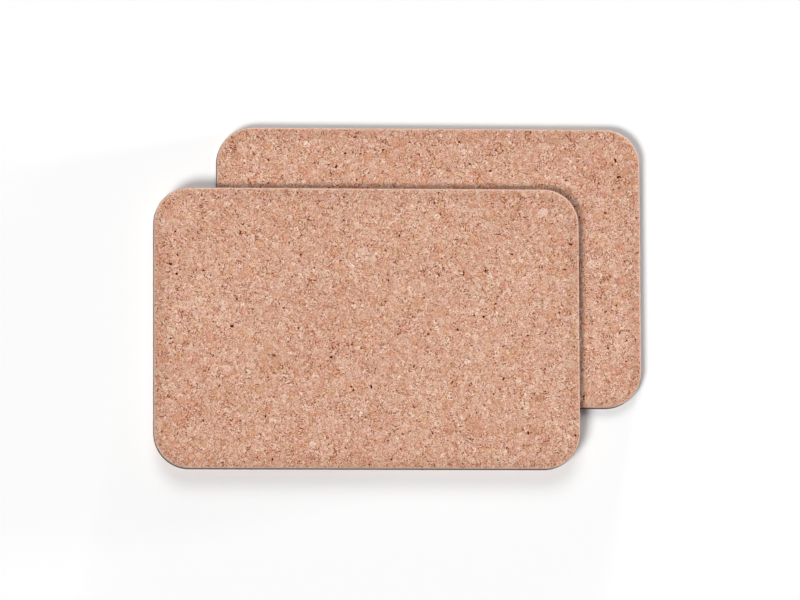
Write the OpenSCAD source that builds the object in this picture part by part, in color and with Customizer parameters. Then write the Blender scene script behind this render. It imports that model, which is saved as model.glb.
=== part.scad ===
// Two flat cork trivets, one lying on the other.
// Each is one board of pressed cork granules with round corners and sanded edges.
// The lower board lies on the table, and the upper one is shifted to the left and to the front.
// Millimetres, with +Z up, +X along the long sides and the front towards -Y.
// The origin is on the table, at the centre of the stack's outline.

/* [Board] */
// Length of a board, along X
board_length = 295; // [200:5:400]
// Width of a board, along Y
board_width = 195; // [120:5:300]
// Thickness of the cork sheet that a board is cut from
board_thickness = 10; // [6:1:20]
// Radius of the four corners, seen from above
corner_radius = 25; // [5:1:50]
// Radius of the sanded edge round each face
edge_radius = 1.5; // [0.5:0.25:2.5]

/* [Stack] */
// How far the upper board is shifted to the left of the lower one
shift_left = 44; // [0:1:120]
// How far the upper board is shifted to the front of the lower one
shift_front = 43.5; // [0:0.5:80]

/* [Hidden] */
$fn = 96;

// Colour of the pressed cork
cork_colour = "#D2A38B";

// Straight stretches of the sides, between the corners
straight_length = board_length - 2 * corner_radius;
straight_width = board_width - 2 * corner_radius;

// Upright wall between the two sanded edges
wall_height = board_thickness - 2 * edge_radius;

// Section through the rim, from a corner's axis out to the wall
module rim_section() {
    square([corner_radius - edge_radius, board_thickness]);
    translate([0, edge_radius])
        square([corner_radius, wall_height]);
    for (height = [edge_radius, board_thickness - edge_radius])
        translate([corner_radius - edge_radius, height])
            circle(r = edge_radius);
}

// One side of the rim and the corner at its end, where run is the side's straight stretch
// and reach is how far from the board's centre the rim starts
module rim_quarter(reach, run) {
    translate([reach, run / 2, 0]) {
        rotate([90, 0, 0])
            linear_extrude(height = run)
                rim_section();
        rotate_extrude(angle = 90)
            rim_section();
    }
}

// One board, centred on its own footprint
module board() {
    translate([-straight_length / 2, -straight_width / 2, 0])
        cube([straight_length, straight_width, board_thickness]);
    for (turn = [0, 180]) {
        rotate([0, 0, turn])
            rim_quarter(straight_length / 2, straight_width);
        rotate([0, 0, turn + 90])
            rim_quarter(straight_width / 2, straight_length);
    }
}

// The board that lies on the table
module lower_trivet() {
    color(cork_colour)
        translate([shift_left / 2, shift_front / 2, 0])
            board();
}

// The loose board that lies on the lower one
module upper_trivet() {
    color(cork_colour)
        translate([-shift_left / 2, -shift_front / 2, board_thickness])
            board();
}

lower_trivet();
upper_trivet();
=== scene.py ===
"""Two cork trivets, one lying on the other, with their granules, grooves, pits and cork finish."""

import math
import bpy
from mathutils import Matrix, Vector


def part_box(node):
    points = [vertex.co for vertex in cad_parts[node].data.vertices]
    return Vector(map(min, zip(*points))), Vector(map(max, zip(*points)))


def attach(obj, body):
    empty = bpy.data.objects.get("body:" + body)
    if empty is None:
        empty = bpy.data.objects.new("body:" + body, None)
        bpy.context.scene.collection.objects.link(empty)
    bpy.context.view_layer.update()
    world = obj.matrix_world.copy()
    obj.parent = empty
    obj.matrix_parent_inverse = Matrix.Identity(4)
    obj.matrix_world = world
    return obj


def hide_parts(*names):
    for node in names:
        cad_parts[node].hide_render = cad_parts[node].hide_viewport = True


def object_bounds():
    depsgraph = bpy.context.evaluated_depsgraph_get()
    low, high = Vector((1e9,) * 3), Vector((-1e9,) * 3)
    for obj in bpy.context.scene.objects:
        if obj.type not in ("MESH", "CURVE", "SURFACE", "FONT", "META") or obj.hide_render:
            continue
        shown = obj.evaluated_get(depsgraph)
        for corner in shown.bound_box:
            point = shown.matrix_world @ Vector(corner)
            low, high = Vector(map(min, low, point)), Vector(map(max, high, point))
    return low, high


bl_info = {
    "name": "Cork Trivets",
    "version": (1, 0, 0),
    "blender": (4, 5, 0),
    "location": "View3D > Sidebar > Trivets",
    "description": "Builds a pair of pressed cork trivets and a pale studio around them",
    "category": "Object",
}

import bmesh
import bpy
import numpy as np
from bpy.props import FloatProperty, FloatVectorProperty, IntProperty, PointerProperty
from mathutils import Vector
from mathutils.geometry import delaunay_2d_cdt

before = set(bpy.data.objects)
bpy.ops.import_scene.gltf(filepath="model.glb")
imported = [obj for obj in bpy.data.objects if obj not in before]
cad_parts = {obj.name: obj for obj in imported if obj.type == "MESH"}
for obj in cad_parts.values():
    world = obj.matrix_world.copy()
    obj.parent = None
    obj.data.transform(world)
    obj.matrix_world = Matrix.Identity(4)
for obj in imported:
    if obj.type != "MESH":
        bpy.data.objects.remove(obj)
CAD_BOX = [list(corner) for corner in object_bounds()]

# The boards: node in the frame, body that it rides on, seed of its grain
BOARDS = (
    ("lower_trivet", "lower", 11),
    ("upper_trivet", "upper", 23),
)

# Two points of a shell closer than this count as one, in metres
TOUCH = 1e-6

# The triangulation takes two points closer than this as one, in metres
APART = TOUCH / 10

# Share of the granule size that a granule's centre keeps off the border of its face or wall
CLEARANCE_SHARE = 0.35

# Number of steps up the seam where the two ends of a board's wall meet
SEAM_STEPS = 3

# Mark of the sanded edge, sin(tilt)^2 * cos(tilt), 1 where it is strongest; it carries the edge's pale
# colour, which is sanded dust and a painted highlight, its gloss and its fainter relief
RIM_PEAK = 1.5 * math.sqrt(3)

# Power that keeps the painted shade of the walls off the sanded edge
WALL_SHARPNESS = 4

# Middle of a noise, or of a random number from 0 to 1
MIDDLE = 0.5

# Steps from a board's seed to the seeds of its granules' tones, of their heights and of its pits
TONE_STEP = 0
RISE_STEP = 1
PIT_STEP = 2

# A point whose marks for top and edge come to less than this lies low enough for a pit
LOW_LIMIT = 0.01

# The palette: colour in the finish, place among the granules' tones
PALETTE = (
    ("bark", 0.0),
    ("amber", 0.015),
    ("rust", 0.04),
    ("tan", 0.5),
    ("blush", 0.85),
    ("cream", 0.96),
    ("chalk", 1.0),
)

# Way in red, green and blue from a yellowish granule to a pinkish one that is as bright
PINK_WAY = (0.3, -0.8, 0.5)

# A granule's tone times these, without the whole part, draws its hue and its roughness
HUE_TURNS = 91.0
ROUGH_TURNS = 57.0

# A granule's tone times these turns its streaks, in radians, and moves them, in metres
STREAK_TURN = 40.0
STREAK_MOVE = (0.7, 0.9, 0.4)

# Size of the bends in the crumbs' outlines, and how far they reach, in metres
BEND_SIZE = 0.0012
BEND_REACH = 0.0014

# Levels of noise between which the cut cork goes from smooth to rough
PATCH_LEVELS = (0.35, 0.65)

# Length of the breaks in a dark seam, in metres, and levels of noise between which the seam comes in
BREAK_LENGTH = 0.0011
BREAK_LEVELS = (0.48, 0.6)

# How much the streaks fray the border of a pit
PIT_FRAY = 0.5

# Levels of the pit pattern between which the painted shade of a pit's border, and then of its shaded
# bottom, comes in
PIT_BORDER = (0.35, 0.55)
PIT_BOTTOM = (0.46, 0.61)

# How fully the painted shade at the border of a pit covers the cork under it
PIT_BORDER_DEPTH = 0.65

# Share of the darker border's width, from the outline inwards, that is evenly dark
EVEN_BORDER_SHARE = 1 / 3

# Gamma that turns a colour as it looks on the screen into the linear one that a shader takes
SCREEN_GAMMA = 2.2

# Roughness of the darkest and the palest crumbs, and how strongly the cork mirrors light
CRUMB_ROUGHNESS = (0.8, 0.95)
CORK_SPECULAR = 0.06

# Height of the crumbs and streaks, in metres, and share of their relief that the sanded edge keeps
RELIEF_HEIGHT = 0.0002
EDGE_RELIEF_SHARE = 0.25

# Distance from the middle of the floor to its edges, in metres, and the floor's roughness
FLOOR_REACH = 4.0
FLOOR_ROUGHNESS = 0.9

# Numbers of sockets that share their name with others: the Mix node's colours, the random number
MIX_FIRST = 6
MIX_SECOND = 7
MIX_RESULT = 2
RANDOM_NUMBER = 1

# The lamps: name, the angle it comes from and its height and spread in degrees, share of the light
LAMPS = (
    ("key_lamp", 225, 55, 20, 0.63),
    ("back_lamp", 98, 56, 34, 0.275),
    ("right_rim_lamp", 10, 2.5, 5, 0.04),
    ("back_rim_lamp", 80, 2.5, 5, 0.035),
)


class CorkGrain(bpy.types.PropertyGroup):
    """Sizes of the pressed granules and of the sanded edge."""

    granule: FloatProperty(
        name="Granule size",
        description="Distance between the centres of neighbouring granules before they are scattered",
        default=0.0028,
        unit="LENGTH",
        precision=5,
    )
    scatter: FloatProperty(
        name="Scatter",
        description="How far a granule may lie off its even place, as a share of the granule size",
        default=0.42,
        subtype="FACTOR",
    )
    large_share: FloatProperty(
        name="Large granules",
        description="Share of the granules that are large and take the room of their neighbours",
        default=0.06,
        subtype="FACTOR",
    )
    large_reach: FloatProperty(
        name="Large granule reach",
        description="Distance round a large granule's centre at which the next granules start",
        default=0.0042,
        unit="LENGTH",
        precision=5,
    )
    proud: FloatProperty(
        name="Proud granule size",
        description="Width from which a granule stands proud of the crumbs round it",
        default=0.0027,
        unit="LENGTH",
        precision=5,
    )
    rise: FloatProperty(
        name="Granule rise",
        description="How far the proudest granule stands above the grooves round it",
        default=0.00012,
        unit="LENGTH",
        precision=6,
    )
    groove: FloatProperty(
        name="Groove share",
        description="Share of a granule's width that the grooves round it take",
        default=0.16,
        subtype="FACTOR",
    )
    lost: FloatProperty(
        name="Lost crumbs",
        description="Share of the meeting points of granules where a crumb has fallen out",
        default=0.0075,
        subtype="FACTOR",
    )
    pit: FloatProperty(
        name="Pit depth",
        description="Depth of the pit that a lost crumb leaves",
        default=0.0004,
        unit="LENGTH",
        precision=5,
    )
    rim_step: FloatProperty(
        name="Rim step",
        description="Distance between neighbouring points round the sanded edge",
        default=0.0015,
        unit="LENGTH",
        precision=5,
    )
    rim_bands: IntProperty(
        name="Rim bands",
        description="Number of bands that the sanded edge is rounded with",
        default=4,
        min=2,
    )


class CorkFinish(bpy.types.PropertyGroup):
    """Colours of the pressed cork, as they look on the screen, and the sizes of its fine pattern."""

    bark: FloatVectorProperty(
        name="Bark granules",
        description="Darkest granules, cut from the outer bark",
        default=(0.72, 0.50, 0.40),
        subtype="COLOR_GAMMA",
    )
    amber: FloatVectorProperty(
        name="Amber granules",
        description="Orange granules",
        default=(0.825, 0.61, 0.48),
        subtype="COLOR_GAMMA",
    )
    rust: FloatVectorProperty(
        name="Rust granules",
        description="Reddish granules",
        default=(0.815, 0.585, 0.475),
        subtype="COLOR_GAMMA",
    )
    tan: FloatVectorProperty(
        name="Tan granules",
        description="Most common granules",
        default=(0.825, 0.64, 0.545),
        subtype="COLOR_GAMMA",
    )
    blush: FloatVectorProperty(
        name="Blush granules",
        description="Pinkish granules",
        default=(0.85, 0.67, 0.59),
        subtype="COLOR_GAMMA",
    )
    cream: FloatVectorProperty(
        name="Cream granules",
        description="Pale granules",
        default=(0.868, 0.71, 0.62),
        subtype="COLOR_GAMMA",
    )
    chalk: FloatVectorProperty(
        name="Chalk granules",
        description="Palest granules",
        default=(0.905, 0.76, 0.685),
        subtype="COLOR_GAMMA",
    )
    speck: FloatVectorProperty(
        name="Specks",
        description="Dark seams and dashes of bark",
        default=(0.39, 0.16, 0.01),
        subtype="COLOR_GAMMA",
    )
    # Painted shade in the bottoms of the pits
    pit_shade: FloatVectorProperty(
        name="Pit bottoms",
        description="Shaded bottoms of the pits that lost crumbs leave",
        default=(0.32, 0.06, 0.0),
        subtype="COLOR_GAMMA",
    )
    # Partly painted highlight: this pale colour is sanded dust and also stands in for the highlight
    # along the rounded edge
    sanded: FloatVectorProperty(
        name="Sanded edge",
        description="Dusty cork along the rounded edge, which is smoother than the faces",
        default=(0.86, 0.75, 0.70),
        subtype="COLOR_GAMMA",
    )
    border: FloatProperty(
        name="Border width",
        description="Width of the darker band along a board's outline, which fades out inwards",
        default=0.012,
        unit="LENGTH",
        precision=4,
    )
    border_shade: FloatProperty(
        name="Border shade",
        description="How much darker the cork is along a board's outline",
        default=0.043,
    )
    edge_gloss: FloatProperty(
        name="Edge gloss",
        description="How much smoother the sanded edge is than the faces",
        default=0.35,
        subtype="FACTOR",
    )
    # Painted shade: the walls are darkened to stand in for the shade that falls on them, not for a
    # darker cork
    painted_wall_shade: FloatProperty(
        name="Wall shade",
        description="Brightness of the open cut cork of the walls, next to that of the faces",
        default=0.47,
        subtype="FACTOR",
    )
    palette: FloatProperty(
        name="Palette contrast",
        description="How far the granules' colours lie from the tan one",
        default=0.8,
    )
    hue_contrast: FloatProperty(
        name="Hue contrast",
        description="How far granules lie apart between yellowish and pinkish",
        default=0.018,
    )
    shade_tint: FloatVectorProperty(
        name="Shade tint",
        description="How much of the fine light and dark shows in red, green and blue",
        default=(0.7, 1.0, 1.0),
    )
    drift: FloatProperty(
        name="Drift size",
        description="Size of the wide areas that are a little lighter or darker",
        default=0.05,
        unit="LENGTH",
        precision=4,
    )
    drift_contrast: FloatProperty(
        name="Drift contrast",
        description="How much lighter the palest wide areas are than the darkest",
        default=0.065,
    )
    patch: FloatProperty(
        name="Patch size",
        description="Size of the patches in which the cut cork is smooth or rough",
        default=0.007,
        unit="LENGTH",
        precision=5,
    )
    calm: FloatProperty(
        name="Calm",
        description="How rough the smoothest patches are, next to a middling one",
        default=0.75,
        subtype="FACTOR",
    )
    unlike: FloatProperty(
        name="Unlike granules",
        description="How unlike in roughness neighbouring granules are",
        default=0.62,
        subtype="FACTOR",
    )
    crumb_unlike: FloatProperty(
        name="Unlike crumbs",
        description="How much the crumbs follow the roughness of their granule",
        default=0.25,
        subtype="FACTOR",
    )
    crumb: FloatProperty(
        name="Crumb size",
        description="Size of the crumbs that a granule shows on its cut face",
        default=0.00055,
        unit="LENGTH",
        precision=5,
    )
    crumb_contrast: FloatProperty(
        name="Crumb contrast",
        description="How much lighter the palest crumbs are than the darkest",
        default=0.263,
    )
    streak: FloatProperty(
        name="Streak width",
        description="Width of the fine streaks that run one way across a granule",
        default=0.0008,
        unit="LENGTH",
        precision=5,
    )
    streak_length: FloatProperty(
        name="Streak length",
        description="Length of a streak, in widths",
        default=2.2,
    )
    streak_contrast: FloatProperty(
        name="Streak contrast",
        description="How much lighter the palest streaks are than the darkest",
        default=0.61,
    )
    streak_cap: FloatProperty(
        name="Streak cap",
        description="Level at which pale streaks stop growing paler",
        default=0.08,
        subtype="FACTOR",
    )
    dash_level: FloatProperty(
        name="Dash level",
        description="Depth of a streak from which it shows as a dark dash",
        default=0.154,
        subtype="FACTOR",
    )
    dash_unlike: FloatProperty(
        name="Unlike dashes",
        description="How much the dashes follow the roughness of their granule",
        default=0.65,
        subtype="FACTOR",
    )
    dash_edge: FloatProperty(
        name="Dash edge",
        description="How far below and above its level a dash fades in",
        default=0.014,
        subtype="FACTOR",
    )
    dash_depth: FloatProperty(
        name="Dash darkness",
        description="How fully a dash covers the cork under it",
        default=1.0,
        subtype="FACTOR",
    )
    seam_depth: FloatProperty(
        name="Seam darkness",
        description="How fully a dark seam between granules covers the cork under it",
        default=0.5,
        subtype="FACTOR",
    )
    relief: FloatProperty(
        name="Relief",
        description="How strongly the crumbs and streaks stand out in the light",
        default=0.3,
        subtype="FACTOR",
    )
    lift: FloatProperty(
        name="Lift",
        description="Even brightening that makes up for the dark seams and dashes",
        default=0.009,
    )


class StudioSettings(bpy.types.PropertyGroup):
    """Floor, light from all sides and camera."""

    floor: FloatVectorProperty(
        name="Floor",
        description="Colour of the pale floor",
        default=(1.0, 1.0, 1.0),
        subtype="COLOR",
    )
    glow: FloatProperty(
        name="Floor glow",
        description="Share of plain white that the camera sees in the floor",
        default=0.05,
        subtype="FACTOR",
    )
    world: FloatProperty(
        name="World light",
        description="Level of the even light from all sides",
        default=0.02,
    )
    lens: FloatProperty(
        name="Lens",
        description="Focal length of the camera, in millimetres",
        default=300.0,
        unit="CAMERA",
    )
    view_width: FloatProperty(
        name="View width",
        description="Width of what the camera sees at the upper board's face",
        default=0.5524,
        unit="LENGTH",
        precision=4,
    )
    aim: FloatVectorProperty(
        name="Aim",
        description="Point on the upper board's face that the camera looks at",
        default=(0.0008, -0.0021),
        size=2,
        unit="LENGTH",
        precision=4,
    )
    lean_front: FloatProperty(
        name="Lean to the front",
        description="How far the camera leans from straight above to the front of the boards",
        default=math.radians(6.5),
        subtype="ANGLE",
    )
    lean_left: FloatProperty(
        name="Lean to the left",
        description="How far the camera leans from straight above to the left of the boards",
        default=math.radians(4.5),
        subtype="ANGLE",
    )


class NodeKit:
    """Short calls that add nodes to a tree and feed their sockets with values or links."""

    def __init__(self, tree):
        self.tree = tree

    def add(self, kind, **settings):
        """Adds a node of that kind with those settings."""
        node = self.tree.nodes.new(kind)
        for key, value in settings.items():
            setattr(node, key, value)
        return node

    def feed(self, socket, value):
        """Links an output to a socket, or sets the socket's own value."""
        if isinstance(value, bpy.types.NodeSocket):
            self.tree.links.new(value, socket)
        else:
            socket.default_value = value

    def calc(self, operation, *values):
        """Result of one sum on numbers."""
        node = self.add("ShaderNodeMath", operation=operation)
        for socket, value in zip(node.inputs, values):
            self.feed(socket, value)
        return node.outputs[0]

    def vector(self, operation, *values):
        """Result of one sum on vectors or colours."""
        node = self.add("ShaderNodeVectorMath", operation=operation)
        for socket, value in zip(node.inputs, values):
            self.feed(socket, value)
        return node.outputs[0]

    def stretch(self, first, factor):
        """A vector or colour times a number."""
        node = self.add("ShaderNodeVectorMath", operation="SCALE")
        self.feed(node.inputs[0], first)
        self.feed(node.inputs["Scale"], factor)
        return node.outputs[0]

    def spread(self, value, start, end, low, high):
        """Value that goes from low to high while another goes from start to end."""
        node = self.add("ShaderNodeMapRange")
        for socket, number in zip(node.inputs, (value, start, end, low, high)):
            self.feed(socket, number)
        return node.outputs[0]

    def noise(self, place, size, detail=1):
        """Noise texture with patches of that size."""
        node = self.add("ShaderNodeTexNoise")
        self.feed(node.inputs["Vector"], place)
        self.feed(node.inputs["Scale"], 1 / size)
        self.feed(node.inputs["Detail"], detail)
        return node.outputs

    def cells(self, place, size):
        """Cell texture with cells of that size."""
        node = self.add("ShaderNodeTexVoronoi")
        self.feed(node.inputs["Vector"], place)
        self.feed(node.inputs["Scale"], 1 / size)
        return node.outputs

    def channel(self, colour, name):
        """One channel of a colour."""
        node = self.add("ShaderNodeSeparateColor")
        self.feed(node.inputs[0], colour)
        return node.outputs[name]

    def mix(self, share, first, second):
        """Colour between two others."""
        node = self.add("ShaderNodeMix", data_type="RGBA")
        self.feed(node.inputs["Factor"], share)
        self.feed(node.inputs[MIX_FIRST], first)
        self.feed(node.inputs[MIX_SECOND], second)
        return node.outputs[MIX_RESULT]

    def surface(self, name):
        """Number that the mesh carries under that name, read by a material."""
        return self.add("ShaderNodeAttribute", attribute_name=name).outputs["Fac"]

    def carried(self, name):
        """Number that the mesh carries under that name, read by a geometry tree."""
        node = self.add("GeometryNodeInputNamedAttribute")
        self.feed(node.inputs["Name"], name)
        return node.outputs["Attribute"]

    def carry(self, geometry, name, domain, value):
        """Mesh that carries a number under that name."""
        node = self.add("GeometryNodeStoreNamedAttribute", domain=domain)
        self.feed(node.inputs["Geometry"], geometry)
        self.feed(node.inputs["Name"], name)
        self.feed(node.inputs["Value"], value)
        return node.outputs["Geometry"]

    def chance(self, seed, step):
        """Random number from 0 to 1, with a seed that is a few steps on from the given one."""
        node = self.add("FunctionNodeRandomValue")
        self.feed(node.inputs["Seed"], self.calc("ADD", seed, step))
        return node.outputs[RANDOM_NUMBER]


def board_sizes(node):
    """Place, corner radius and edge radius of a board, measured on its frame solid."""
    low, high = (np.array(corner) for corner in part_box(node))
    points = np.array([vertex.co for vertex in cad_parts[node].data.vertices])
    on_end = points[np.abs(points[:, 0] - high[0]) < TOUCH]
    on_top = points[np.abs(points[:, 2] - high[2]) < TOUCH]
    return {
        "low": low,
        "high": high,
        "centre": (low + high) / 2,
        "corner": high[1] - on_end[:, 1].max(),
        "edge": high[0] - on_top[:, 0].max(),
    }


def outline_length(board):
    """Length of a board's outline."""
    half = (board["high"] - board["low"])[:2] / 2
    return 4 * (half - board["corner"]).sum() + 2 * math.pi * board["corner"]


def outline_at(walk, board):
    """Points on a board's outline and their outward directions, for distances walked round it."""
    half = (board["high"] - board["low"])[:2] / 2
    radius = board["corner"]
    runs = 2 * (half - radius)
    arc = radius * math.pi / 2
    starts = np.cumsum([0, runs[1], arc, runs[0], arc, runs[1], arc, runs[0]])
    stretch = np.searchsorted(starts, walk, side="right") - 1
    along = walk - starts[stretch]
    round_corner = stretch % 2 == 1
    turn = stretch // 2 * (math.pi / 2) + np.where(round_corner, along / radius, 0)
    outward = np.column_stack((np.cos(turn), np.sin(turn)))
    ahead = np.column_stack((-np.sin(turn), np.cos(turn)))
    signs = np.array([(1, 1), (-1, 1), (-1, -1), (1, -1)])
    corner = (stretch // 2 - 1 + round_corner) % 4
    middle = board["centre"][:2] + signs[corner] * (half - radius)
    straight = np.where(round_corner, 0, along)[:, None]
    return middle + radius * outward + straight * ahead, outward


def depth_inside(points, board):
    """How far inside a board's outline points lie."""
    half = (board["high"] - board["low"])[:2] / 2
    radius = board["corner"]
    past = np.abs(points - board["centre"][:2]) - (half - radius)
    reach = np.hypot(*np.maximum(past, 0).T) + np.minimum(past.max(axis=1), 0)
    return radius - reach


def granule_centres(width, height, grain, draw):
    """Scattered centres of granules over a field of that size, with its corner at zero."""
    step = grain.granule
    row = step * math.sqrt(3) / 2
    x, y = np.meshgrid(np.arange(step / 2, width, step), np.arange(row / 2, height, row))
    x[1::2] += step / 2
    centres = np.column_stack((x.ravel(), y.ravel()))
    centres += draw.uniform(-grain.scatter, grain.scatter, centres.shape) * step
    large = draw.random(len(centres)) < grain.large_share
    crowded = np.zeros(len(centres), dtype=bool)
    for centre in centres[large]:
        crowded |= np.hypot(*(centres - centre).T) < grain.large_reach
    return centres[large | ~crowded]


def triangles(border, inner):
    """Triangles between a closed border and the points inside it, as points and corner numbers."""
    count = len(border)
    points = [Vector(point) for point in (*border, *inner)]
    loop = [(i, (i + 1) % count) for i in range(count)]
    inside_only = 1
    corners, _, faces, *_ = delaunay_2d_cdt(points, loop, [], inside_only, APART, False)
    return np.array(corners), faces


def add_patch(mesh, places, faces, tilts):
    """Adds faces at those places to a mesh, with how far each corner's surface tilts from level."""
    rim = mesh.verts.layers.float["rim"]
    wall = mesh.verts.layers.float["wall"]
    corners = [mesh.verts.new(place) for place in places]
    for corner, tilt in zip(corners, tilts):
        corner[rim] = RIM_PEAK * math.sin(tilt) ** 2 * math.cos(tilt)
        corner[wall] = math.sin(tilt) ** WALL_SHARPNESS
    for face in faces:
        mesh.faces.new([corners[i] for i in face])


def rim_walks(board, grain):
    """Distances along a board's outline at which its rim has points."""
    length = outline_length(board)
    count = round(length / grain.rim_step)
    return np.arange(count) * length / count


def add_face(mesh, board, upward, grain, draw):
    """Adds the flat face on top of a board or under it, inside its sanded edge."""
    rim, outward = outline_at(rim_walks(board, grain), board)
    border = rim - board["edge"] * outward
    low, high = board["low"][:2], board["high"][:2]
    centres = low + granule_centres(*(high - low), grain, draw)
    margin = board["edge"] + grain.granule * CLEARANCE_SHARE
    flat, faces = triangles(border, centres[depth_inside(centres, board) > margin])
    height = board["high"][2] if upward else board["low"][2]
    places = np.column_stack((flat, np.full(len(flat), height)))
    if not upward:
        faces = [face[::-1] for face in faces]
    add_patch(mesh, places, faces, [0.0] * len(flat))


def add_edge(mesh, board, upward, grain):
    """Adds the sanded edge between a flat face and the wall."""
    rim, outward = outline_at(rim_walks(board, grain), board)
    count = len(rim)
    places, tilts = [], []
    for tilt in np.linspace(0, math.pi / 2, grain.rim_bands + 1):
        ring = rim - board["edge"] * (1 - math.sin(tilt)) * outward
        drop = board["edge"] * (1 - math.cos(tilt))
        height = board["high"][2] - drop if upward else board["low"][2] + drop
        places.extend(np.column_stack((ring, np.full(count, height))))
        tilts.extend([tilt] * count)
    faces = []
    for band in range(grain.rim_bands):
        for i in range(count):
            upper, lower = band * count, (band + 1) * count
            j = (i + 1) % count
            quad = [upper + i, lower + i, lower + j, upper + j]
            faces.append(quad if upward else quad[::-1])
    add_patch(mesh, places, faces, tilts)


def add_wall(mesh, board, grain, draw):
    """Adds the upright wall round a board, between its two sanded edges."""
    length = outline_length(board)
    walks = np.append(rim_walks(board, grain), length)
    bottom, top = board["low"][2] + board["edge"], board["high"][2] - board["edge"]
    rows = np.linspace(bottom, top, SEAM_STEPS + 1)[1:-1]
    border = [(walk, bottom) for walk in walks] + [(length, row) for row in rows]
    border += [(walk, top) for walk in walks[::-1]] + [(0.0, row) for row in rows[::-1]]
    centres = granule_centres(length, top - bottom, grain, draw) + (0, bottom)
    margin = grain.granule * CLEARANCE_SHARE
    clear = (centres > (margin, bottom + margin)) & (centres < (length - margin, top - margin))
    flat, faces = triangles(border, centres[clear.all(axis=1)])
    at, _ = outline_at(np.mod(flat[:, 0], length), board)
    add_patch(mesh, np.column_stack((at, flat[:, 1])), faces, [math.pi / 2] * len(flat))


def mark_inset(mesh, board):
    """Gives each point of a board's shell its distance from the board's outline."""
    inset = mesh.verts.layers.float["inset"]
    depths = depth_inside(np.array([corner.co[:2] for corner in mesh.verts]), board)
    for corner, depth in zip(mesh.verts, depths):
        corner[inset] = depth


def board_shell(name, board, grain, seed):
    """Closed shell of a board, with one point for each granule."""
    draw = np.random.default_rng(seed)
    mesh = bmesh.new()
    for layer in ("rim", "wall", "inset"):
        mesh.verts.layers.float.new(layer)
    for upward in (True, False):
        add_face(mesh, board, upward, grain, draw)
        add_edge(mesh, board, upward, grain)
    add_wall(mesh, board, grain, draw)
    mark_inset(mesh, board)
    bmesh.ops.remove_doubles(mesh, verts=mesh.verts, dist=TOUCH)
    bmesh.ops.recalc_face_normals(mesh, faces=mesh.faces)
    shell = bpy.data.meshes.new(name)
    mesh.to_mesh(shell)
    mesh.free()
    return shell


def granule_inputs(tree):
    """Adds the named inputs of the granule tree and returns their identifiers."""
    kinds = {
        "Shell": "NodeSocketGeometry",
        "Smallest": "NodeSocketFloat",
        "Proud": "NodeSocketFloat",
        "Rise": "NodeSocketFloat",
        "Groove": "NodeSocketFloat",
        "Lost": "NodeSocketFloat",
        "Pit": "NodeSocketFloat",
        "Seed": "NodeSocketInt",
        "Cork": "NodeSocketMaterial",
    }
    keys = {}
    for name, kind in kinds.items():
        item = tree.interface.new_socket(name=name, in_out="INPUT", socket_type=kind)
        keys[name] = item.identifier
    tree.interface.new_socket(name="Board", in_out="OUTPUT", socket_type="NodeSocketGeometry")
    return keys


def raise_granules(kit, given):
    """Turns each point of the shell into a granule, raises it and draws it in from its neighbours."""
    dual = kit.add("GeometryNodeDualMesh")
    kit.feed(dual.inputs["Mesh"], given["Shell"])
    area = kit.add("GeometryNodeInputMeshFaceArea").outputs["Area"]
    granule = kit.calc("GREATER_THAN", area, given["Smallest"])
    proud = kit.calc("GREATER_THAN", area, given["Proud"])
    drawn = kit.calc("SUBTRACT", kit.chance(given["Seed"], TONE_STEP), MIDDLE)
    tone = kit.calc("MULTIPLY_ADD", drawn, granule, MIDDLE)
    body = kit.carry(dual.outputs[0], "granule_tone", "FACE", tone)
    body = kit.carry(body, "granule_proud", "FACE", proud)
    height = kit.calc("MULTIPLY", kit.chance(given["Seed"], RISE_STEP), given["Rise"])
    extrude = kit.add("GeometryNodeExtrudeMesh")
    kit.feed(extrude.inputs["Mesh"], body)
    kit.feed(extrude.inputs["Selection"], proud)
    kit.feed(extrude.inputs["Offset Scale"], height)
    shrink = kit.add("GeometryNodeScaleElements")
    kit.feed(shrink.inputs["Geometry"], extrude.outputs["Mesh"])
    kit.feed(shrink.inputs["Selection"], extrude.outputs["Top"])
    kit.feed(shrink.inputs["Scale"], kit.calc("SUBTRACT", 1, given["Groove"]))
    return kit.carry(shrink.outputs[0], "granule_top", "POINT", extrude.outputs["Top"])


def dig_pits(kit, given, body):
    """Sinks a pit where granules meet, at a few points drawn at random."""
    raised = kit.calc("ADD", kit.carried("granule_top"), kit.carried("rim"))
    low = kit.calc("LESS_THAN", raised, LOW_LIMIT)
    drawn = kit.calc("LESS_THAN", kit.chance(given["Seed"], PIT_STEP), given["Lost"])
    body = kit.carry(body, "pit", "POINT", kit.calc("MULTIPLY", low, drawn))
    outward = kit.add("GeometryNodeInputNormal").outputs[0]
    depth = kit.calc("MULTIPLY", kit.carried("pit"), given["Pit"])
    dig = kit.add("GeometryNodeSetPosition")
    kit.feed(dig.inputs["Geometry"], body)
    kit.feed(dig.inputs["Offset"], kit.stretch(outward, kit.calc("MULTIPLY", depth, -1)))
    return dig.outputs[0]


def granule_tree():
    """Node tree that dresses a board's shell with granules, grooves and pits."""
    tree = bpy.data.node_groups.new("cork_granules", "GeometryNodeTree")
    keys = granule_inputs(tree)
    kit = NodeKit(tree)
    given = kit.add("NodeGroupInput").outputs
    body = dig_pits(kit, given, raise_granules(kit, given))
    smooth = kit.add("GeometryNodeSetShadeSmooth")
    kit.feed(smooth.inputs["Geometry"], body)
    real = kit.add("GeometryNodeRealizeInstances")
    kit.feed(real.inputs["Geometry"], smooth.outputs[0])
    coat = kit.add("GeometryNodeSetMaterial")
    kit.feed(coat.inputs["Geometry"], real.outputs[0])
    kit.feed(coat.inputs["Material"], given["Cork"])
    kit.feed(kit.add("NodeGroupOutput").inputs[0], coat.outputs[0])
    return tree, keys


def shell_sizes(node, grain):
    """Sizes of a board's shell, which leaves room inside the frame solid for the proudest granule."""
    board = board_sizes(node)
    board["low"] = board["low"] + grain.rise
    board["high"] = board["high"] - grain.rise
    board["corner"] -= grain.rise
    return board


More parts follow.
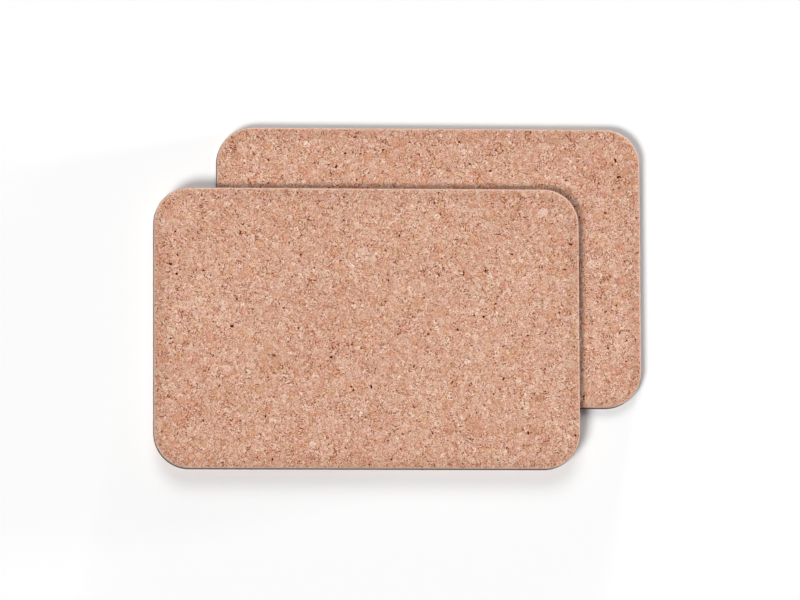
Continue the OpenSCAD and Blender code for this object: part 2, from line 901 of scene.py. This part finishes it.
def dress(piece, tree, settings):
    """Runs the granule tree on a piece's shell and keeps the result as the piece's plain mesh."""
    nodes = piece.modifiers.new("granules", "NODES")
    nodes.node_group = tree
    for key, value in settings.items():
        nodes[key] = value
    evaluated = piece.evaluated_get(bpy.context.evaluated_depsgraph_get())
    dressed = bpy.data.meshes.new_from_object(evaluated)
    piece.modifiers.remove(nodes)
    shell, piece.data = piece.data, dressed
    bpy.data.meshes.remove(shell)
    dressed.name = piece.name


def make_board(node, body, seed, tree, keys, grain, cork):
    """Makes one dressed board and puts it in its frame solid's place."""
    name = node + "_cork"
    piece = bpy.data.objects.new(name, board_shell(name, shell_sizes(node, grain), grain, seed))
    bpy.context.scene.collection.objects.link(piece)
    # Areas: a cell smaller than a square rim step keeps the middle tone, and a proud one is raised
    settings = {
        "Smallest": grain.rim_step**2,
        "Proud": grain.proud**2,
        "Rise": grain.rise,
        "Groove": grain.groove,
        "Lost": grain.lost,
        "Pit": grain.pit,
        "Seed": seed,
        "Cork": cork,
    }
    dress(piece, tree, {keys[title]: value for title, value in settings.items()})
    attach(piece, body)
    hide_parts(node)


def granule_colour(kit, finish, tone):
    """Colour of each granule as it looks on the screen, drawn from the palette."""
    palette = kit.add("ShaderNodeValToRGB")
    kit.feed(palette.inputs[0], tone)
    ramp = palette.color_ramp
    while len(ramp.elements) < len(PALETTE):
        ramp.elements.new(1.0)
    middle = Vector(finish.tan)
    for element, (name, at) in zip(ramp.elements, PALETTE):
        element.position = at
        element.color = (*middle.lerp(Vector(getattr(finish, name)), finish.palette), 1.0)
    return palette.outputs["Color"]


def granule_draw(kit, tone, turns):
    """Another random number from 0 to 1 for each granule, from its tone."""
    return kit.calc("FRACT", kit.calc("MULTIPLY", tone, turns))


def crumb_pattern(kit, finish, place):
    """Tones of the crumbs that the granules show on their cut faces, from -0.5 to 0.5."""
    bends = kit.vector("SUBTRACT", kit.noise(place, BEND_SIZE)["Color"], (MIDDLE,) * 3)
    bent = kit.vector("MULTIPLY_ADD", bends, (BEND_REACH,) * 3, place)
    tones = kit.channel(kit.cells(bent, finish.crumb)["Color"], "Red")
    return kit.calc("SUBTRACT", tones, MIDDLE)


def streak_pattern(kit, finish, place, tone):
    """Fine streaks that run one way across each granule, from -0.5 to 0.5."""
    turned = kit.add("ShaderNodeVectorRotate", rotation_type="Z_AXIS")
    kit.feed(turned.inputs["Vector"], place)
    kit.feed(turned.inputs["Angle"], kit.calc("MULTIPLY", tone, STREAK_TURN))
    moved = kit.vector("ADD", turned.outputs[0], kit.stretch(STREAK_MOVE, tone))
    drawn = kit.vector("MULTIPLY", moved, (1.0, 1 / finish.streak_length, 1.0))
    return kit.calc("SUBTRACT", kit.noise(drawn, finish.streak, detail=2)["Fac"], MIDDLE)


def rough_share(kit, finish, place, tone):
    """How rough the cut cork is: it comes and goes in patches, and from granule to granule."""
    patches = kit.noise(place, finish.patch)["Fac"]
    patchy = kit.spread(patches, *PATCH_LEVELS, finish.calm, 2 - finish.calm)
    drawn = granule_draw(kit, tone, ROUGH_TURNS)
    own = kit.spread(drawn, 0.0, 1.0, 1 - finish.unlike, 1 + finish.unlike)
    return kit.calc("MULTIPLY", patchy, own)


def follow(kit, rough, share):
    """Strength that follows the roughness of the cork by that share."""
    return kit.spread(rough, 0.0, 2.0, 1 - share, 1 + share)


def cut_patterns(kit, finish):
    """Patterns of the cut cork that its colour and its relief are made from, by name."""
    place = kit.add("ShaderNodeTexCoord").outputs["Object"]
    tone = kit.surface("granule_tone")
    rough = rough_share(kit, finish, place, tone)
    coarse = follow(kit, rough, finish.crumb_unlike)
    fibres = streak_pattern(kit, finish, place, tone)
    streaks = kit.calc("MULTIPLY", fibres, rough)
    return {
        "place": place,
        "tone": tone,
        "rim": kit.surface("rim"),
        "crumbs": kit.calc("MULTIPLY", crumb_pattern(kit, finish, place), coarse),
        "streaks": streaks,
        "dashes": kit.calc("MULTIPLY", fibres, follow(kit, rough, finish.dash_unlike)),
        "pits": kit.calc("MULTIPLY_ADD", streaks, PIT_FRAY, kit.surface("pit")),
    }


def fine_shade(kit, finish, cut):
    """How much lighter or darker the crumbs, the streaks and the wide areas make the cork."""
    shade = kit.calc("MULTIPLY_ADD", cut["crumbs"], finish.crumb_contrast, finish.lift)
    capped = kit.calc("MINIMUM", cut["streaks"], finish.streak_cap)
    shade = kit.calc("MULTIPLY_ADD", capped, finish.streak_contrast, shade)
    wide = kit.calc("SUBTRACT", kit.noise(cut["place"], finish.drift)["Fac"], MIDDLE)
    return kit.calc("MULTIPLY_ADD", wide, finish.drift_contrast, shade)


def sound_colour(kit, finish, cut):
    """Colour of the sound cork as it looks on the screen, a little darker along the outline."""
    tinted = kit.stretch(finish.shade_tint, fine_shade(kit, finish, cut))
    look = kit.vector("ADD", granule_colour(kit, finish, cut["tone"]), tinted)
    half = finish.hue_contrast / 2
    pinkness = kit.spread(granule_draw(kit, cut["tone"], HUE_TURNS), 0.0, 1.0, -half, half)
    look = kit.vector("ADD", look, kit.stretch(PINK_WAY, pinkness))
    even = finish.border * EVEN_BORDER_SHARE
    darker = kit.spread(kit.surface("inset"), even, finish.border, -finish.border_shade, 0.0)
    return kit.vector("ADD", look, darker)


def dark_share(kit, finish, cut):
    """Where the cork is dark: broken seams between proud granules, dashes on them, and painted shade
    at the borders of pits.
    """
    groove = kit.calc("SUBTRACT", kit.surface("granule_proud"), kit.surface("granule_top"))
    breaks = kit.noise(cut["place"], BREAK_LENGTH)["Fac"]
    broken = kit.spread(breaks, *BREAK_LEVELS, 0.0, finish.seam_depth)
    seam = kit.calc("MULTIPLY", kit.calc("MAXIMUM", groove, 0), broken)
    level, edge = -finish.dash_level, finish.dash_edge
    dash = kit.spread(cut["dashes"], level - edge, level + edge, finish.dash_depth, 0.0)
    # Painted shade at the border of a pit
    border = kit.spread(cut["pits"], *PIT_BORDER, 0.0, PIT_BORDER_DEPTH)
    return kit.calc("MAXIMUM", kit.calc("MAXIMUM", seam, dash), border)


def cork_colour(kit, finish, cut):
    """Colour of the cork with its dark specks, its pale edge of sanded dust and painted highlight,
    painted shade on its walls and painted shade in its pits.
    """
    look = sound_colour(kit, finish, cut)
    look = kit.mix(dark_share(kit, finish, cut), look, (*finish.speck, 1.0))
    # Pale edge: sanded dust, and a painted highlight along the rim
    look = kit.mix(cut["rim"], look, (*finish.sanded, 1.0))
    # Painted shade: darkens the walls to stand in for the shade on them
    look = kit.stretch(look, kit.spread(kit.surface("wall"), 0.0, 1.0, 1.0, finish.painted_wall_shade))
    # Painted shade in the bottoms of the pits
    look = kit.mix(kit.spread(cut["pits"], *PIT_BOTTOM, 0.0, 1.0), look, (*finish.pit_shade, 1.0))
    colour = kit.add("ShaderNodeGamma")
    kit.feed(colour.inputs["Color"], look)
    kit.feed(colour.inputs["Gamma"], SCREEN_GAMMA)
    return colour.outputs[0]


def cork_relief(kit, finish, cut):
    """Relief of the crumbs and streaks, which is fainter on the sanded edge."""
    faint = finish.relief * EDGE_RELIEF_SHARE
    bump = kit.add("ShaderNodeBump")
    kit.feed(bump.inputs["Strength"], kit.spread(cut["rim"], 0.0, 1.0, finish.relief, faint))
    kit.feed(bump.inputs["Distance"], RELIEF_HEIGHT)
    kit.feed(bump.inputs["Height"], kit.calc("ADD", cut["crumbs"], cut["streaks"]))
    return bump.outputs[0]


def cork_material(finish):
    """Matte pressed cork: granules, crumbs, streaks, dark specks, pits with painted shade, a pale edge
    that is sanded dust and a painted highlight, and cut walls with painted shade.
    """
    cork = bpy.data.materials.new("pressed_cork")
    cork.use_nodes = True
    kit = NodeKit(cork.node_tree)
    cut = cut_patterns(kit, finish)
    matte = kit.spread(cut["crumbs"], -MIDDLE, MIDDLE, *CRUMB_ROUGHNESS)
    shader = cork.node_tree.nodes["Principled BSDF"].inputs
    kit.feed(shader["Base Color"], cork_colour(kit, finish, cut))
    kit.feed(shader["Roughness"], kit.calc("MULTIPLY_ADD", cut["rim"], -finish.edge_gloss, matte))
    kit.feed(shader["Specular IOR Level"], CORK_SPECULAR)
    kit.feed(shader["Normal"], cork_relief(kit, finish, cut))
    return cork


class CORK_OT_boards(bpy.types.Operator):
    """Build the two cork boards on the frame's solids"""

    bl_idname = "cork_trivets.boards"
    bl_label = "Cork Boards"

    def execute(self, context):
        cork = cork_material(context.scene.cork_finish)
        tree, keys = granule_tree()
        for node, body, seed in BOARDS:
            make_board(node, body, seed, tree, keys, context.scene.cork_grain, cork)
        return {"FINISHED"}


def add_lamp(name, azimuth, height, spread, level):
    """Adds a far soft lamp. A level of 1 alone shows a flat face in its written colour."""
    tilt = math.radians(height)
    lamp = bpy.data.lights.new(name, "SUN")
    lamp.angle = math.radians(spread)
    lamp.energy = level * math.pi / math.sin(tilt)
    holder = bpy.data.objects.new(name, lamp)
    holder.rotation_euler = (0, math.pi / 2 - tilt, math.radians(azimuth))
    bpy.context.scene.collection.objects.link(holder)


def seen_share(kit):
    """Share that is 1 for what the camera sees, directly or by gloss or glass, and 0 for light."""
    path = kit.add("ShaderNodeLightPath").outputs
    mirrored = kit.calc("MAXIMUM", path["Is Glossy Ray"], path["Is Transmission Ray"])
    return kit.calc("MAXIMUM", path["Is Camera Ray"], mirrored)


def blend_shaders(kit, share, first, second, output):
    """Feeds an output with a mix of two shaders."""
    blend = kit.add("ShaderNodeMixShader")
    for socket, value in zip(blend.inputs, (share, first, second)):
        kit.feed(socket, value)
    kit.feed(output, blend.outputs[0])


def pale_world(level):
    """World that lights at that level and shows white behind the floor."""
    world = bpy.data.worlds.new("pale_studio")
    world.use_nodes = True
    kit = NodeKit(world.node_tree)
    light = world.node_tree.nodes["Background"]
    shown = kit.add("ShaderNodeBackground")
    for node, strength in ((light, level), (shown, 1.0)):
        kit.feed(node.inputs["Color"], (1.0, 1.0, 1.0, 1.0))
        kit.feed(node.inputs["Strength"], strength)
    output = world.node_tree.nodes["World Output"].inputs["Surface"]
    blend_shaders(kit, seen_share(kit), light.outputs[0], shown.outputs[0], output)
    bpy.context.scene.world = world


def floor_material(studio):
    """Pale floor that shows white and keeps the object's shadow."""
    pale = bpy.data.materials.new("pale_floor")
    pale.use_nodes = True
    kit = NodeKit(pale.node_tree)
    matte = pale.node_tree.nodes["Principled BSDF"]
    kit.feed(matte.inputs["Base Color"], (*studio.floor, 1.0))
    kit.feed(matte.inputs["Roughness"], FLOOR_ROUGHNESS)
    kit.feed(matte.inputs["Specular IOR Level"], 0.0)
    white = kit.add("ShaderNodeEmission").outputs[0]
    share = kit.calc("MULTIPLY", seen_share(kit), studio.glow)
    output = pale.node_tree.nodes["Material Output"].inputs["Surface"]
    blend_shaders(kit, share, matte.outputs[0], white, output)
    return pale


def add_floor(studio):
    """Adds the pale floor that the boards lie on."""
    signs = ((-1, -1), (1, -1), (1, 1), (-1, 1))
    corners = [(x * FLOOR_REACH, y * FLOOR_REACH, 0) for x, y in signs]
    mesh = bpy.data.meshes.new("floor")
    mesh.from_pydata(corners, [], [range(4)])
    mesh.materials.append(floor_material(studio))
    floor = bpy.data.objects.new("floor", mesh)
    bpy.context.scene.collection.objects.link(floor)


def add_camera(studio):
    """Adds the camera, which looks down at the boards and leans a little, so their edges show."""
    lens = bpy.data.cameras.new("camera")
    lens.lens = studio.lens
    distance = studio.view_width * studio.lens / lens.sensor_width
    camera = bpy.data.objects.new("camera", lens)
    front, left = studio.lean_front, studio.lean_left
    # A small turn shares out the slant that the two leans give the boards' sides
    turn = -front * left / 2
    camera.rotation_euler = (front, -left, turn)
    away = camera.rotation_euler.to_matrix() @ Vector((0, 0, distance))
    camera.location = Vector((*studio.aim, CAD_BOX[1][2])) + away
    bpy.context.scene.collection.objects.link(camera)
    bpy.context.scene.camera = camera


class CORK_OT_stage(bpy.types.Operator):
    """Set up the pale floor, the soft lamps and the camera"""

    bl_idname = "cork_trivets.stage"
    bl_label = "Pale Studio"

    def execute(self, context):
        studio = context.scene.cork_studio
        context.scene.view_settings.view_transform = "Standard"
        add_floor(studio)
        add_camera(studio)
        pale_world(studio.world)
        for lamp in LAMPS:
            add_lamp(*lamp)
        return {"FINISHED"}


class CORK_PT_trivets(bpy.types.Panel):
    """Lists the steps that build the trivets and their studio"""

    bl_idname = "CORK_PT_trivets"
    bl_label = "Cork Trivets"
    bl_space_type = "VIEW_3D"
    bl_region_type = "UI"
    bl_category = "Trivets"

    def draw(self, context):
        scene = context.scene
        steps = (
            (CORK_OT_boards.bl_idname, (scene.cork_grain, scene.cork_finish)),
            (CORK_OT_stage.bl_idname, (scene.cork_studio,)),
        )
        for step, groups in steps:
            box = self.layout.box()
            for group in groups:
                for key in group.__annotations__:
                    box.prop(group, key)
            box.operator(step)


CLASSES = (CorkGrain, CorkFinish, StudioSettings, CORK_OT_boards, CORK_OT_stage, CORK_PT_trivets)


def register():
    """Registers the classes and puts their settings on the scene."""
    for item in CLASSES:
        bpy.utils.register_class(item)
    bpy.types.Scene.cork_grain = PointerProperty(type=CorkGrain)
    bpy.types.Scene.cork_finish = PointerProperty(type=CorkFinish)
    bpy.types.Scene.cork_studio = PointerProperty(type=StudioSettings)


def unregister():
    """Takes the settings off the scene and unregisters the classes."""
    del bpy.types.Scene.cork_studio
    del bpy.types.Scene.cork_finish
    del bpy.types.Scene.cork_grain
    for item in reversed(CLASSES):
        bpy.utils.unregister_class(item)


def main():
    """Builds the boards and the studio."""
    register()
    bpy.ops.cork_trivets.boards()
    bpy.ops.cork_trivets.stage()


if __name__ == "__main__":
    main()
